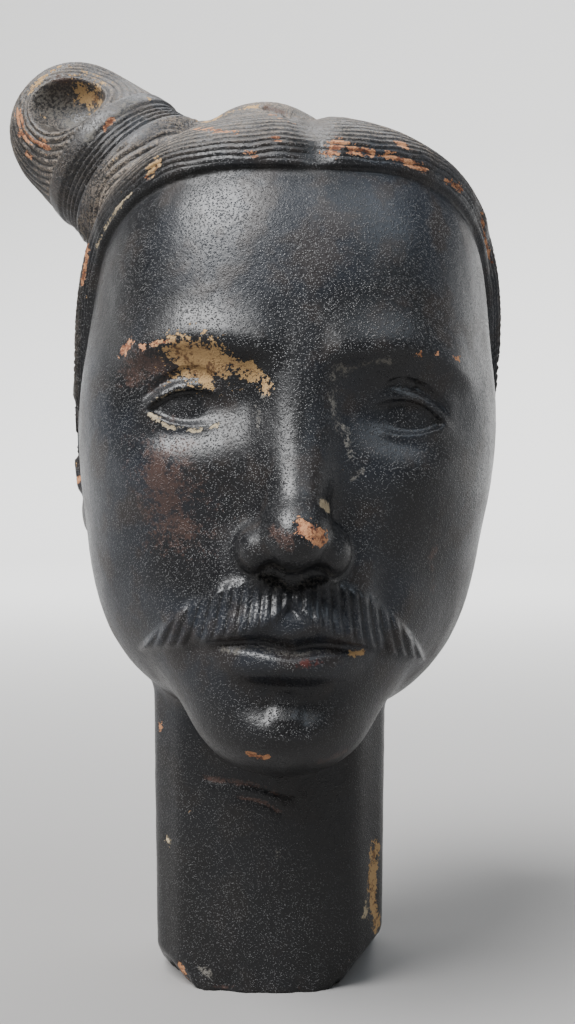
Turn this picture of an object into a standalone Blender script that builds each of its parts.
"""Warrior head of fired clay: a bust with a side topknot, cut flat across the neck, on which it stands."""

from collections import namedtuple

import bmesh
import bpy
import numpy as np
from mathutils import Matrix

# Driving sizes in metres
HEAD_HEIGHT = 0.1
NECK_WIDTH = 0.0356
NECK_TOP_WIDTH = 0.0381
NECK_DEPTH = 0.0385
EYE_LINE_HEIGHT = 0.087
HEAD_OVERHANG = 0.00445
HEAD_SHIFT = 0.00248
KNOT_LENGTH = 0.028
KNOT_FOOT_DIAMETER = 0.0276
KNOT_END_DIAMETER = 0.0214

# Pose in radians: the crown leans to +X, and the face turns to +X
HEAD_LEAN = 0.044
HEAD_TURN = 0.052

# Everything carved is measured in parts, 112 of them from crown to chin.
# A place is (x, f, z) in parts from the middle of the head: f runs to the front, which is -Y.
PART = HEAD_HEIGHT / 112

Mass = namedtuple("Mass", "centre radii blend power", defaults=(2.0,))
Swell = namedtuple("Swell", "side width height tallness rise")
Taper = namedtuple("Taper", "start end start_radius end_radius blend")
Roll = namedtuple("Roll", "height arch front recede radius half_length")

SKULL = Mass((0, -4.5, 12.0), (35.4, 46.0, 40.3), 0, 2.5)
FACE_MASSES = {
    "brow and cheeks": Mass((0, 8.0, -8.0), (34.8, 34.5, 40.0), 9, 2.2),
    "jaw": Mass((0, 7.0, -28.0), (29.5, 31.0, 23.5), 9, 2.15),
    "chin": Mass((0, 30.5, -47.5), (14.0, 13.5, 10.2), 10),
    "mouth": Mass((0, 28.5, -31.0), (18.5, 16.0, 15.0), 9),
}
FACE_SWELLS = {
    "eye socket": Swell(14.5, 9.0, 0.5, 6.0, -3.4),
    "inner corner of the socket": Swell(7.0, 3.0, 3.0, 5.0, -1.2),
    "cheekbone": Swell(20.5, 8.5, -10.5, 7.0, 1.7),
    "fold beside the mouth": Swell(14.5, 2.4, -28.0, 7.0, -0.9),
    "temple": Swell(32.0, 4.5, 15.0, 8.0, -0.8),
    "ball of the chin": Swell(0.0, 7.5, -49.5, 4.2, 1.0),
}
FACE_RELIEF_START = 4.0
FACE_RELIEF_FULL = 24.0
BROW_HEIGHT = 8.6
BROW_ARCH = 1.6
BROW_PEAK = 16.0
BROW_TAIL_DROP = 0.02
BROW_RISE = 1.5
BROW_SOFTNESS_ABOVE = 4.2
BROW_SOFTNESS_BELOW = 2.0
BROW_INNER_END = (2.0, 7.0)
BROW_OUTER_END = (24.0, 31.0)

EYE_CENTRE = (15.4, 27.4, -0.6)
EYEBALL_RADIUS = 10.9
LID_RADIUS = 11.75
EYE_HALF_LENGTH = 8.5
EYE_SLANT = 0.06
UPPER_LID_ARCH = 3.3
LOWER_LID_ARCH = 2.5
LID_POINTEDNESS = 2.2
LID_EDGE_RISE = 0.45
LID_FOLD_HEIGHT = 2.7
LID_FOLD_RADIUS = 0.65
LID_FOLD_HALF_LENGTH = 8.2

NOSE_RIDGE = Taper((0, 36.0, 8.0), (0, 47.2, -16.5), 3.9, 4.3, 6.5)
NOSE_TIP = Mass((0, 48.9, -19.4), (5.1, 6.0, 4.7), 3.5)
NOSE_WING = Mass((5.7, 45.0, -21.3), (3.2, 5.6, 3.8), 1.6)
NOSTRIL = Mass((3.4, 47.6, -25.4), (1.9, 3.0, 2.2), 1.2)

UPPER_LIP = Roll(-33.0, -0.010, 44.9, 0.028, 2.4, 14.6)
UPPER_LIP_PEAK = (3.2, 0.7)
LOWER_LIP = Roll(-38.9, 0.010, 43.9, 0.032, 2.9, 12.2)
MOUTH_LINE_HEIGHT = -35.9
MOUTH_LINE_RADIUS = 0.85
MOUTH_LINE_WAVE = 0.45
UNDER_LIP_HOLLOW = Mass((0, 48.4, -44.6), (10.5, 5.6, 2.6), 4.5)
MOUTH_CORNER = Mass((15.2, 41.2, -36.2), (1.6, 2.4, 1.5), 1.6)

MOUSTACHE_HEIGHT = -28.6
MOUSTACHE_SLOPE = 0.10
MOUSTACHE_DROOP = 0.0145
MOUSTACHE_LENGTH = 24.5
MOUSTACHE_FULL_LENGTH = 9.0
MOUSTACHE_HALF_BREADTH = 4.3
MOUSTACHE_RISE = 0.85
STROKE_PITCH = 3.0
STROKE_DEPTH = 0.5
STROKE_FAN = 60
TUFT_TOP = (-44.0, -42.0)
TUFT_FOOT = (-48.5, -46.5)
TUFT_HALF_WIDTH = 2.6
TUFT_RISE = 0.6

EAR_CENTRE = (35.7, -13.0, -5.5)
EAR_RADII = (8.6, 15.0)
EAR_TILT = 0.16
EAR_FLARE = 0.24
EAR_TUCK = 0.12
EAR_LOBE_NARROWING = 0.16
EAR_THICKNESS = 3.0
EAR_ROOT_DEPTH = 11.0
EAR_ROOT_NARROWING = 0.3
# Rings of the ear: share of the way to its edge, lift and radius
EAR_RIM = (0.88, 1.3, 1.25)
EAR_INNER_FOLD = (0.50, 1.0, 0.95)
# Lumps of the ear: middle and radii, forward, up and out of its plane
EAR_LOBE = ((0, -12, 0.6), (4.4, 4.0, 2.0))
EAR_FLAP = ((6.3, -2.5, 1.0), (2.0, 3.2, 1.8))
EAR_HOLLOW = ((2, -2, 1.8), (3.2, 4.6, 2.2))

# The hairline's height for each bearing in degrees from the front, alike on both sides
HAIRLINE_BEARINGS = (0, 25, 40, 55, 70, 79, 86, 92, 98, 106, 125, 150, 180)
HAIRLINE_HEIGHTS = (38.5, 38.6, 37.4, 34.4, 30.0, 24.0, 12.0, -1.0, -6.0, -4.0, -12.0, -31.0, -37.0)
HAIRLINE_SKEW = 0.05
HAIRLINE_SLOPE_BEARINGS = (0, 30, 50, 70, 80, 90, 98, 112, 135, 180)
HAIRLINE_SLOPES = (0, 0.1, 0.3, 0.6, 1.6, 1.6, 0.4, 0.5, 0.9, 0.2)
HAIR_THICKNESS = 1.9
HAIR_EDGE_SHARE = 0.55
ROLL_RISE = 1.5
ROLL_CREST = 6.0
ROLL_BREADTH = 15.5
ROLL_BREADTH_BEHIND = 10.5
ROLL_EDGE_DEPTH = 0.6
PARTING_PLACE = 0.8
PARTING_LEAN = 0.04
PARTING_WIDTH = 2.6
PARTING_DEPTH = 1.2
LOCK_PITCH = 3.6
LOCK_DEPTH = 1.1
LOCKS_ROUND_KNOT = 30
THINNING_ROUND_EAR = 0.8
CROWN_HUMP = Mass((-5.5, -7.0, 50.6), (12.5, 12.0, 9.4), 4.5)

KNOT_FOOT = (-27.5, -8.5, 43.6)
KNOT_DIRECTION = (-0.706, -0.390, 0.589)
KNOT_END_ROUNDING = 12
CORD_LEAN = 0.10
CORD_SINK = 0.35
CORD_START = 4.8
CORD_END = 10.8
CORD_PITCH = 2.4
CORD_DEPTH = 0.5
STRAP_BREADTH = 3.8
STRAP_RISE = 0.25
DISH = Mass((-42.9, -2.6, 57.3), (7.5, 5.6, 5.5), 1.4)

NECK_FRONT_BOW = 0.018
NECK_CORNER_CUT = 24.6
NECK_CORNER_LEAN = (0.8, 0.6)
NECK_TOP_UNDER_EYES = 14
# The chips off the foot of the neck: a place on each, and which way it faces
NECK_CHIPS = (
    ((14.0, 14.0, 3.0), (0.77, 0.22, -0.60)),
    ((-17.5, 13.0, 4.5), (-0.72, 0.30, -0.62)),
)
CHIP_SET_BACK = 1.0

# Size of the quads in parts, steps on to the form, and whether the carving is there yet
MODELLING_PASSES = ((2.4, 12, False), (1.5, 6, False), (0.9, 6, True))
TRIANGLES = 9200

CLAY_COLOUR = (0.030, 0.029, 0.033, 1.0)
CLAY_ROUGHNESS = 0.48


def smooth_union(a, b, blend):
    """The nearer of two distances, with the crease between them filled."""
    overlap = np.maximum(blend - np.abs(a - b), 0) / blend
    return np.minimum(a, b) - overlap * overlap * blend / 4


def smooth_cut(a, b, blend):
    """Distance to the first shape with the second one carved away."""
    return -smooth_union(-a, b, blend)


def bell(t, width):
    return np.exp(-((t / width) ** 2))


def ramp(start, end, t):
    s = np.clip((t - start) / (end - start), 0, 1)
    return s * s * (3 - 2 * s)


def curve_through(t, xs, ys):
    """A smooth curve through a few points."""
    xs = np.asarray(xs, float)
    ys = np.asarray(ys, float)
    slopes = np.gradient(ys, xs)
    i = np.clip(np.searchsorted(xs, t) - 1, 0, len(xs) - 2)
    gap = xs[i + 1] - xs[i]
    u = np.clip((t - xs[i]) / gap, 0, 1)
    start = (2 * u**3 - 3 * u**2 + 1) * ys[i] + (u**3 - 2 * u**2 + u) * gap * slopes[i]
    end = (3 * u**2 - 2 * u**3) * ys[i + 1] + (u**3 - u**2) * gap * slopes[i + 1]
    return start + end


def mass_distance(x, f, z, mass):
    """Distance to an ellipsoid, which grows boxier as its power rises over 2."""
    power = mass.power
    shares = [np.abs(v - c) / r + 1e-9 for v, c, r in zip((x, f, z), mass.centre, mass.radii)]
    total = sum(s**power for s in shares)
    size = total ** (1 / power)
    slope = sum((s ** (power - 1) / r) ** 2 for s, r in zip(shares, mass.radii))
    return (size - 1) / np.maximum(total ** (1 / power - 1) * np.sqrt(slope), 1e-3)


def taper_distance(x, f, z, taper):
    start = np.array(taper.start, float)
    run = np.array(taper.end, float) - start
    place = [v - s for v, s in zip((x, f, z), start)]
    t = np.clip(sum(p * r for p, r in zip(place, run)) / (run @ run), 0, 1)
    radius = taper.start_radius + t * (taper.end_radius - taper.start_radius)
    return np.sqrt(sum((p - t * r) ** 2 for p, r in zip(place, run))) - radius


def face_form(x, f, z):
    ax = np.abs(x)
    form = mass_distance(x, f, z, SKULL)
    for mass in FACE_MASSES.values():
        form = smooth_union(form, mass_distance(x, f, z, mass), mass.blend)
    relief = 0
    for swell in FACE_SWELLS.values():
        beside = bell(ax - swell.side, swell.width)
        relief = relief + swell.rise * beside * bell(z - swell.height, swell.tallness)
    brow = BROW_HEIGHT + BROW_ARCH * bell(ax - BROW_PEAK, BROW_PEAK / 2)
    above = z - brow + BROW_TAIL_DROP * np.maximum(ax - BROW_PEAK - 3, 0) ** 2
    ridge = np.where(above > 0, bell(above, BROW_SOFTNESS_ABOVE), bell(above, BROW_SOFTNESS_BELOW))
    relief = relief + BROW_RISE * ridge * ramp(*BROW_INNER_END, ax) * (1 - ramp(*BROW_OUTER_END, ax))
    return form - relief * ramp(FACE_RELIEF_START, FACE_RELIEF_FULL, f)


def carve_eyes(form, x, f, z, fine):
    """Open, calm eyes: lids over a ball, parted by an almond-shaped gap."""
    side, front, height = EYE_CENTRE
    u = np.abs(x) - side
    w = z - height - EYE_SLANT * u
    reach = np.sqrt(u * u + (f - front) ** 2 + (z - height) ** 2)
    to_nose = (np.abs(u + 1.0) / EYE_HALF_LENGTH) ** LID_POINTEDNESS
    to_temple = (np.abs(u - 0.8) / EYE_HALF_LENGTH) ** LID_POINTEDNESS
    upper = np.maximum(UPPER_LID_ARCH * (1 - to_nose), -UPPER_LID_ARCH)
    lower = np.minimum(-LOWER_LID_ARCH * (1 - to_temple), UPPER_LID_ARCH)
    gap = np.maximum(w - upper, lower - w)
    lids = smooth_cut(reach - LID_RADIUS - LID_EDGE_RISE * bell(gap, 1.1), gap, 0.35)
    lids = smooth_cut(lids, LID_RADIUS - 0.75 - np.abs(u), 3)
    form = smooth_union(form, lids, 1.8)
    if not fine:
        return form
    form = smooth_union(form, reach - EYEBALL_RADIUS, 0.3)
    fold_height = upper + LID_FOLD_HEIGHT - 0.05 * np.abs(u)
    fold = np.sqrt((w - fold_height) ** 2 + (0.8 * (reach - LID_RADIUS - 0.35)) ** 2 + 0.01) - LID_FOLD_RADIUS
    return smooth_cut(form, smooth_cut(fold, LID_FOLD_HALF_LENGTH - np.abs(u), 1.5), 1.2)


def add_nose(form, x, f, z, fine):
    ax = np.abs(x)
    form = smooth_union(form, taper_distance(x, f, z, NOSE_RIDGE), NOSE_RIDGE.blend)
    form = smooth_union(form, mass_distance(x, f, z, NOSE_TIP), NOSE_TIP.blend)
    form = smooth_union(form, mass_distance(ax, f, z, NOSE_WING), NOSE_WING.blend)
    if fine:
        form = smooth_cut(form, mass_distance(ax, f, z, NOSTRIL), NOSTRIL.blend)
    return form


def lip_distance(x, f, z, lip, bow):
    height = lip.height + bow + lip.arch * x * x
    front = lip.front - lip.recede * x * x
    radius = lip.radius * np.sqrt(np.clip(1 - (x / lip.half_length) ** 2, 0.03, 1))
    distance = np.sqrt((z - height) ** 2 + (f - front) ** 2 + 1e-6) - radius
    return smooth_cut(distance, lip.half_length - 0.5 - np.abs(x), 1.5)


def add_mouth(form, x, f, z):
    ax = np.abs(x)
    peak_place, peak_rise = UPPER_LIP_PEAK
    bow = peak_rise * bell(ax - peak_place, 2.6)
    form = smooth_union(form, lip_distance(x, f, z, UPPER_LIP, bow), 1.8)
    form = smooth_union(form, lip_distance(x, f, z, LOWER_LIP, 0), 2.2)
    line_height = MOUTH_LINE_HEIGHT + MOUTH_LINE_WAVE * (bell(ax - 5, 3) - bell(x, 3))
    line_front = UPPER_LIP.front + 1.7 - UPPER_LIP.recede * x * x
    radius = MOUTH_LINE_RADIUS * np.clip(1.05 - (ax / UPPER_LIP.half_length) ** 3, 0, 1)
    line = np.sqrt((z - line_height) ** 2 + ((f - line_front) / 2) ** 2 + 1e-6) - radius
    form = smooth_cut(form, np.maximum(line, ax - UPPER_LIP.half_length), 0.9)
    form = smooth_cut(form, mass_distance(ax, f, z, MOUTH_CORNER), MOUTH_CORNER.blend)
    return smooth_cut(form, mass_distance(x, f, z, UNDER_LIP_HOLLOW), UNDER_LIP_HOLLOW.blend)


def beard_rise(x, f, z, fine):
    """A broad drooping moustache cut into strokes, and a tuft under the lip."""
    ax = np.abs(x)
    middle = MOUSTACHE_HEIGHT - MOUSTACHE_SLOPE * ax - MOUSTACHE_DROOP * ax * ax
    past_full = np.clip((ax - MOUSTACHE_FULL_LENGTH) / (MOUSTACHE_LENGTH - MOUSTACHE_FULL_LENGTH), 0, 1)
    breadth = MOUSTACHE_HALF_BREADTH * (1 - past_full**2) * ramp(-2.5, 5, ax)
    inside = breadth - 0.95 * np.abs(z - middle)
    front = ramp(FACE_RELIEF_START + 8, FACE_RELIEF_FULL, f)
    wing = ramp(-0.4, 1.3, inside) * front * (1 - ramp(MOUSTACHE_LENGTH - 2, MOUSTACHE_LENGTH, ax))
    rise = MOUSTACHE_RISE * wing
    if fine:
        fanned = x + (z - MOUSTACHE_HEIGHT) * x / STROKE_FAN
        strokes = np.cos(2 * np.pi * fanned / STROKE_PITCH) - 0.4
        rise = rise + wing * ramp(0, 1.6, inside) * STROKE_DEPTH / 2 * strokes
    narrow = TUFT_HALF_WIDTH - ax - 0.10 * (z - TUFT_FOOT[1])
    tuft = ramp(-0.5, 1.2, narrow) * ramp(*TUFT_FOOT, z) * (1 - ramp(*TUFT_TOP, z))
    return rise + TUFT_RISE * tuft * front


def ear_plan(x, f, z):
    """Places on the ear: forward, up, out of its plane, and the share of the way to its rim."""
    side, front, height = EAR_CENTRE
    v = z - height
    u = f - front + EAR_TILT * v
    w = np.abs(x) - side - EAR_TUCK * v + EAR_FLARE * u
    breadth = EAR_RADII[0] * (1 - EAR_LOBE_NARROWING * ramp(-2, -EAR_RADII[1], v))
    return u, v, w, np.sqrt((u / breadth) ** 2 + (v / EAR_RADII[1]) ** 2 + 1e-6)


def ear_form(x, f, z, fine):
    u, v, w, share = ear_plan(x, f, z)
    scale = EAR_RADII[0] + 0.9

    def ring(at, lift, radius):
        return np.sqrt(((share - at) * scale) ** 2 + (w - lift) ** 2 + 1e-6) - radius

    def lump(centre, radii):
        place = zip((u, v, w), centre, radii)
        return (np.sqrt(sum(((p - c) / r) ** 2 for p, c, r in place) + 1e-6) - 1) * min(radii)

    narrowing = EAR_ROOT_NARROWING * np.maximum(-1 - w, 0)
    inside = np.minimum(EAR_THICKNESS / 2 - w, EAR_ROOT_DEPTH + w)
    form = smooth_cut((share - 1) * scale + narrowing, inside, 1.6)
    if not fine:
        return form
    rim = smooth_cut(ring(*EAR_RIM), v + EAR_RADII[1] - 6.5, 2)
    rim = smooth_cut(rim, EAR_RADII[0] - 2.8 + EAR_TUCK * v - u, 1.5)
    form = smooth_union(form, rim, 0.9)
    form = smooth_union(form, lump(*EAR_LOBE), 1.8)
    form = smooth_union(form, smooth_cut(ring(*EAR_INNER_FOLD), 2.2 - u, 1.5), 0.8)
    form = smooth_union(form, lump(*EAR_FLAP), 1.2)
    return smooth_cut(form, lump(*EAR_HOLLOW), 1.2)


def knot_plan(x, f, z):
    """Places on the knot: along its axis, out from it, to the front of it, and across."""
    axis = np.array(KNOT_DIRECTION) / np.linalg.norm(KNOT_DIRECTION)
    across = np.cross(axis, (0, 1, 0))
    across = across / np.linalg.norm(across)
    forward = np.cross(across, axis)
    place = [v - c for v, c in zip((x, f, z), KNOT_FOOT)]
    along, to_front, to_side = (sum(p * a for p, a in zip(place, way)) for way in (axis, forward, across))
    return along, np.sqrt(to_front**2 + to_side**2 + 1e-9), to_front, to_side


def knot_form(x, f, z, fine):
    """The blunt topknot with its cord, a broad strap and the dish in its front."""
    along, out, to_front, _ = knot_plan(x, f, z)
    length = KNOT_LENGTH / PART
    foot = KNOT_FOOT_DIAMETER / PART / 2
    taper = (foot - KNOT_END_DIAMETER / PART / 2) / length
    form = smooth_cut(out - foot + taper * np.maximum(along, -10), length - along, KNOT_END_ROUNDING)
    form = smooth_cut(form, along + 6, 6)
    level = along + CORD_LEAN * to_front
    corded = ramp(CORD_START, CORD_START + 1, level) * (1 - ramp(CORD_END - 0.6, CORD_END + 0.4, level))
    form = form + CORD_SINK * corded
    if fine:
        form = form - CORD_DEPTH * corded * np.cos(2 * np.pi * (level - CORD_START) / CORD_PITCH)
    strap_end = CORD_END + STRAP_BREADTH
    strap = ramp(CORD_END, CORD_END + 1, level) * (1 - ramp(strap_end - 0.6, strap_end + 0.4, level))
    return smooth_cut(form - STRAP_RISE * strap, mass_distance(x, f, z, DISH), DISH.blend)


def hair_form(x, f, z, fine):
    """Hair over the skull: a roll combed round the hairline, and locks drawn up to the knot."""
    bearing = np.degrees(np.abs(np.arctan2(x, f)))
    line = curve_through(bearing, HAIRLINE_BEARINGS, HAIRLINE_HEIGHTS)
    line = line + HAIRLINE_SKEW * np.clip(x, -40, 40) * ramp(-10, 10, f)
    slope = np.interp(bearing, HAIRLINE_SLOPE_BEARINGS, HAIRLINE_SLOPES)
    above = (z - line) / np.sqrt(1 + slope**2)
    beside_parting = x - PARTING_PLACE + PARTING_LEAN * (z - CROWN_HUMP.centre[2])
    parting = bell(beside_parting, PARTING_WIDTH) * ramp(-8, 14, f)
    thickness = HAIR_THICKNESS + ROLL_RISE * bell(above - ROLL_CREST, 5.5)
    thickness = thickness * (HAIR_EDGE_SHARE + (1 - HAIR_EDGE_SHARE) * ramp(0, 5, above))
    thickness = thickness - PARTING_DEPTH * parting * ramp(-1, 3, above)
    if fine:
        _, _, to_front, to_side = knot_plan(x, f, z)
        stray = 0.25 * np.sin(0.30 * x + 0.12 * z) + 0.18 * np.sin(0.13 * x - 0.21 * f)
        breadth = ROLL_BREADTH - (ROLL_BREADTH - ROLL_BREADTH_BEHIND) * ramp(20, -10, f)
        combed_round = np.cos(2 * np.pi * (above + stray) / LOCK_PITCH)
        drawn_up = np.cos(LOCKS_ROUND_KNOT * np.arctan2(to_side, to_front) + 2.2 * stray)
        upper = ramp(breadth - 0.8, breadth + 0.8, above)
        locks = combed_round * (1 - upper) + drawn_up * upper
        carved = ramp(0.8, 2.2, above) * (1 - 0.9 * parting)
        thickness = thickness + carved * (LOCK_DEPTH / 2 * locks - ROLL_EDGE_DEPTH * bell(above - breadth, 0.9))
    _, _, _, ear_share = ear_plan(x, f, z)
    thickness = thickness * (1 - THINNING_ROUND_EAR * (1 - ramp(1.0, 1.45, ear_share)))
    hair = smooth_cut(mass_distance(x, f, z, SKULL) - thickness, above, 1.6)
    hair = smooth_union(hair, mass_distance(x, f, z, CROWN_HUMP), CROWN_HUMP.blend)
    return smooth_union(hair, knot_form(x, f, z, fine), 3.5)


def neck_form(x, f, z):
    """An eight-sided column up into the head, with its foot's front corners chipped away."""
    rise = z / (EYE_LINE_HEIGHT / PART)
    half_width = (NECK_WIDTH + rise * (NECK_TOP_WIDTH - NECK_WIDTH)) / PART / 2
    side = np.abs(x) - half_width
    front = np.abs(f) - NECK_DEPTH / PART / 2 + NECK_FRONT_BOW * x * x * ramp(-5, 5, f)
    corner = NECK_CORNER_LEAN[0] * np.abs(x) + NECK_CORNER_LEAN[1] * np.abs(f) - NECK_CORNER_CUT
    form = smooth_cut(smooth_cut(side, -front, 5), -corner, 3)
    form = smooth_cut(form, EYE_LINE_HEIGHT / PART - NECK_TOP_UNDER_EYES - z, 2)
    for place, lean in NECK_CHIPS:
        depth = sum((v - p) * a for v, p, a in zip((x, f, z), place, lean)) - CHIP_SET_BACK
        form = smooth_cut(form, -depth, 0.8)
    return form


def clay_form(points, fine):
    """Distance in parts from each point, in metres, to the surface of the clay: below 0 is inside."""
    x, f, z = (points / PART).T * np.array([[1], [-1], [1]])
    hx = x - HEAD_SHIFT / PART
    hf = f - HEAD_OVERHANG / PART
    hz = z - EYE_LINE_HEIGHT / PART
    hx, hz = hx * np.cos(HEAD_LEAN) - hz * np.sin(HEAD_LEAN), hx * np.sin(HEAD_LEAN) + hz * np.cos(HEAD_LEAN)
    hx, hf = hx * np.cos(HEAD_TURN) - hf * np.sin(HEAD_TURN), hx * np.sin(HEAD_TURN) + hf * np.cos(HEAD_TURN)
    form = face_form(hx, hf, hz)
    form = add_nose(form, hx, hf, hz, fine)
    form = carve_eyes(form, hx, hf, hz, fine)
    form = add_mouth(form, hx, hf, hz)
    form = form - beard_rise(hx, hf, hz, fine)
    form = smooth_union(form, ear_form(hx, hf, hz, fine), 1.2)
    form = smooth_union(form, hair_form(hx, hf, hz, fine), 0.4)
    return smooth_union(form, neck_form(x, f, z), 2.5)


def drawn_to_form(points, edges, steps, reach, fine):
    """Moves points onto the clay's surface, and keeps them evenly spread along it."""
    neighbours = np.bincount(edges.ravel(), minlength=len(points))[:, None]
    corners = np.array([[1, -1, -1], [-1, -1, 1], [-1, 1, -1], [1, 1, 1]])
    for turn in range(steps):
        values = [clay_form(points + corner * reach, fine) * PART for corner in corners]
        slope = sum(value[:, None] * corner for value, corner in zip(values, corners)) / (4 * reach)
        steepness = np.maximum((slope * slope).sum(1), 0.2)[:, None]
        move = -(sum(values) / 4)[:, None] / steepness * slope
        length = np.linalg.norm(move, axis=1)[:, None]
        points = points + move * np.minimum(1, 1.5 * PART / np.maximum(length, 1e-12))
        if turn == steps - 1:
            break
        total = np.zeros_like(points)
        np.add.at(total, edges[:, 0], points[edges[:, 1]])
        np.add.at(total, edges[:, 1], points[edges[:, 0]])
        drift = total / neighbours - points
        normal = slope / np.sqrt(steepness)
        points = points + 0.5 * (drift - (drift * normal).sum(1)[:, None] * normal)
    return points


def rough_out():
    """The masses of the head as overlapping balls and a post, for the surface to start from."""
    start = bmesh.new()
    to_head = Matrix.Translation((HEAD_SHIFT, -HEAD_OVERHANG, EYE_LINE_HEIGHT))
    knot_middle = tuple(f + d * KNOT_LENGTH / PART / 2 for f, d in zip(KNOT_FOOT, KNOT_DIRECTION))
    knot_radius = KNOT_FOOT_DIAMETER / PART / 2
    balls = (
        (SKULL.centre, tuple(radius + 4.5 for radius in SKULL.radii)),
        (FACE_MASSES["jaw"].centre, FACE_MASSES["jaw"].radii),
        ((0, 10, -16), (33, 34, 38)),
        (knot_middle, (knot_radius, knot_radius, knot_radius)),
        ((0, 45, -17), (7, 9, 12)),
        ((EAR_CENTRE[0] - 3, *EAR_CENTRE[1:]), (9, *EAR_RADII)),
        ((3 - EAR_CENTRE[0], *EAR_CENTRE[1:]), (9, *EAR_RADII)),
    )
    for (x, f, z), (rx, rf, rz) in balls:
        place = to_head @ Matrix.Translation((x * PART, -f * PART, z * PART))
        size = Matrix.Diagonal((rx * PART, rf * PART, rz * PART, 1))
        bmesh.ops.create_uvsphere(start, u_segments=48, v_segments=24, radius=1, matrix=place @ size)
    post = Matrix.Translation((0, 0, EYE_LINE_HEIGHT / 2 - 0.005))
    bmesh.ops.create_cone(
        start,
        cap_ends=True,
        segments=48,
        radius1=NECK_WIDTH / 2,
        radius2=NECK_WIDTH / 2,
        depth=EYE_LINE_HEIGHT,
        matrix=post,
    )
    mesh = bpy.data.meshes.new("warrior head")
    start.to_mesh(mesh)
    start.free()
    return mesh


def apply_modifiers(obj):
    graph = bpy.context.evaluated_depsgraph_get()
    mesh = bpy.data.meshes.new_from_object(obj.evaluated_get(graph))
    obj.modifiers.clear()
    obj.data = mesh


def model_surface(obj, spacing, steps, fine):
    """One pass over the clay: even quads of the given size, then the form."""
    remesh = obj.modifiers.new("Even quads", "REMESH")
    remesh.mode = "VOXEL"
    remesh.voxel_size = spacing * PART
    apply_modifiers(obj)
    mesh = obj.data
    points = np.empty(len(mesh.vertices) * 3)
    mesh.vertices.foreach_get("co", points)
    edges = np.empty(len(mesh.edges) * 2, np.int64)
    mesh.edges.foreach_get("vertices", edges)
    reach = min(0.35, 0.3 * spacing) * PART
    points = drawn_to_form(points.reshape(-1, 3), edges.reshape(-1, 2), steps, reach, fine)
    mesh.vertices.foreach_set("co", points.ravel())
    mesh.update()


def cut_base(obj):
    """The straight cut across the neck at Z = 0, on which the head stands."""
    form = bmesh.new()
    form.from_mesh(obj.data)
    whole = form.verts[:] + form.edges[:] + form.faces[:]
    bmesh.ops.bisect_plane(form, geom=whole, plane_co=(0, 0, 0), plane_no=(0, 0, -1), clear_outer=True)
    rim = [edge for edge in form.edges if edge.is_boundary]
    bmesh.ops.holes_fill(form, edges=rim)
    bmesh.ops.recalc_face_normals(form, faces=form.faces[:])
    form.to_mesh(obj.data)
    form.free()


def clay_material():
    material = bpy.data.materials.new("Smoked clay")
    material.use_nodes = True
    shader = material.node_tree.nodes["Principled BSDF"]
    shader.inputs["Base Color"].default_value = CLAY_COLOUR
    shader.inputs["Roughness"].default_value = CLAY_ROUGHNESS
    shader.inputs["Metallic"].default_value = 0.0
    return material


def build():
    for obj in list(bpy.data.objects):
        bpy.data.objects.remove(obj)
    collection = bpy.data.collections.new("Warrior head")
    bpy.context.scene.collection.children.link(collection)
    head = bpy.data.objects.new("warrior_head", rough_out())
    collection.objects.link(head)
    for spacing, steps, fine in MODELLING_PASSES:
        model_surface(head, spacing, steps, fine)
    decimate = head.modifiers.new("Facets", "DECIMATE")
    decimate.ratio = TRIANGLES / (2 * len(head.data.polygons))
    apply_modifiers(head)
    cut_base(head)
    head.data.materials.clear()
    head.data.materials.append(clay_material())
    head.data.shade_smooth()


build()
